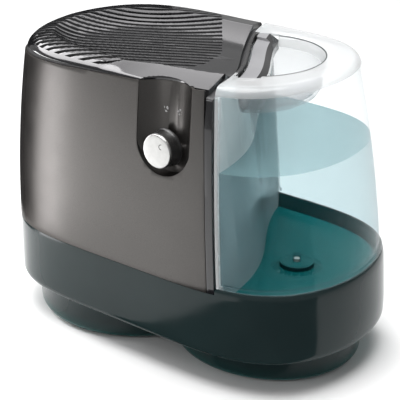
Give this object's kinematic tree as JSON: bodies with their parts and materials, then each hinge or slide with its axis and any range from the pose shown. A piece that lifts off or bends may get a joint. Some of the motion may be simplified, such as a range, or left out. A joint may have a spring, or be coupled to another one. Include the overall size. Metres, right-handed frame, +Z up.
{
  "type": "cool mist humidifier",
  "caption": "Tabletop evaporative humidifier: grey fan housing with slotted black top and side knob, clear lift-off water tank with grip strap, on a dark two-bowl tray.",
  "frame": {"origin": "on the floor under the middle of the object's bounding box", "axes": "+X along the length from the fan housing to the tank, -Y is the front with the knob, +Z up"},
  "size_m": [0.4413, 0.2615, 0.326],
  "materials": {
    "tray": "dark smoked green-blue translucent plastic, polished",
    "shell": "gunmetal metallic lacquer on moulded plastic, satin gloss",
    "black": "piano black, polished",
    "inner": "black moulded plastic, matt",
    "clear": "clear plastic with a faint blue-green tint, frosted on top",
    "strap": "glossy mid-grey plastic",
    "silver": "spun satin silver",
    "knob_black": "black plastic, satin",
    "rubber": "matt black rubber",
    "wick": "off-white corrugated wicking paper",
    "steel": "bright zinc-plated steel",
    "cap": "dark teal moulded plastic",
    "seal": "grey-black silicone",
    "valve": "off-white moulded plastic"
  },
  "bodies": {
    "base": {"base_tray": "tray", "foot_left_front": "rubber", "foot_left_rear": "rubber", "foot_right_front": "rubber", "foot_right_rear": "rubber", "filter_base_ring": "inner", "wick_filter": "wick", "filter_top_ring": "inner"},
    "housing": {"housing_shell": "shell", "side_panel": "black", "intake_grille": "black", "top_cover": "black", "fan_deck": "inner", "deck_rail_left": "inner", "deck_rail_right": "inner", "deck_screw_1": "steel", "deck_screw_2": "steel", "deck_screw_3": "steel", "deck_screw_4": "steel", "fan_motor": "steel", "motor_bracket": "inner", "motor_screw_1": "steel", "motor_screw_2": "steel", "motor_screw_3": "steel", "rotary_switch": "inner", "cord_gland": "rubber"},
    "fan": {"fan": "inner", "motor_shaft": "steel"},
    "knob": {"knob": "knob_black", "knob_face": "silver", "switch_shaft": "steel"},
    "tank": {"tank_shell": "clear", "tank_handle": "strap"},
    "gasket": {"cap_gasket": "seal"},
    "cap": {"tank_cap": "cap", "valve_cage": "cap", "valve_seal": "seal", "valve_spring": "steel"},
    "plunger": {"valve_plunger": "valve"}
  },
  "joints": [
    {"name": "housing_lift", "type": "slide", "parent": "base", "child": "housing", "axis": [-0.0478, -0.1003, 0.9938], "range_m": [0, 0.12]},
    {"name": "tank_lift", "type": "slide", "parent": "base", "child": "tank", "axis": [0, 0, 1], "range_m": [0, 0.12]},
    {"name": "knob_turn", "type": "hinge", "parent": "housing", "child": "knob", "pos_m": [0.052, -0.12, 0.253], "axis": [0, -1, 0], "range_deg": [-67.5, 67.5]},
    {"name": "fan_spin", "type": "hinge", "parent": "housing", "child": "fan", "pos_m": [-0.085, 0, 0.24], "axis": [0, 0, 1], "continuous": true},
    {"name": "cap_thread", "type": "slide", "parent": "tank", "child": "gasket", "axis": [0, 0, -1], "range_m": [0, 0.0095]},
    {"name": "cap_turn", "type": "hinge", "parent": "gasket", "child": "cap", "pos_m": [0.134, 0.002, 0.086], "axis": [0, 0, -1], "range_deg": [0, 575]},
    {"name": "valve_travel", "type": "slide", "parent": "cap", "child": "plunger", "axis": [0, 0, 1], "range_m": [0, 0.004], "stiffness_N_per_m": 150, "springref_m": -0.006, "deforming": ["valve_spring"]}
  ],
  "couplings": [
    {"joint": "cap_turn", "follows": "cap_thread", "rad_per_m": 1047.2}
  ]
}
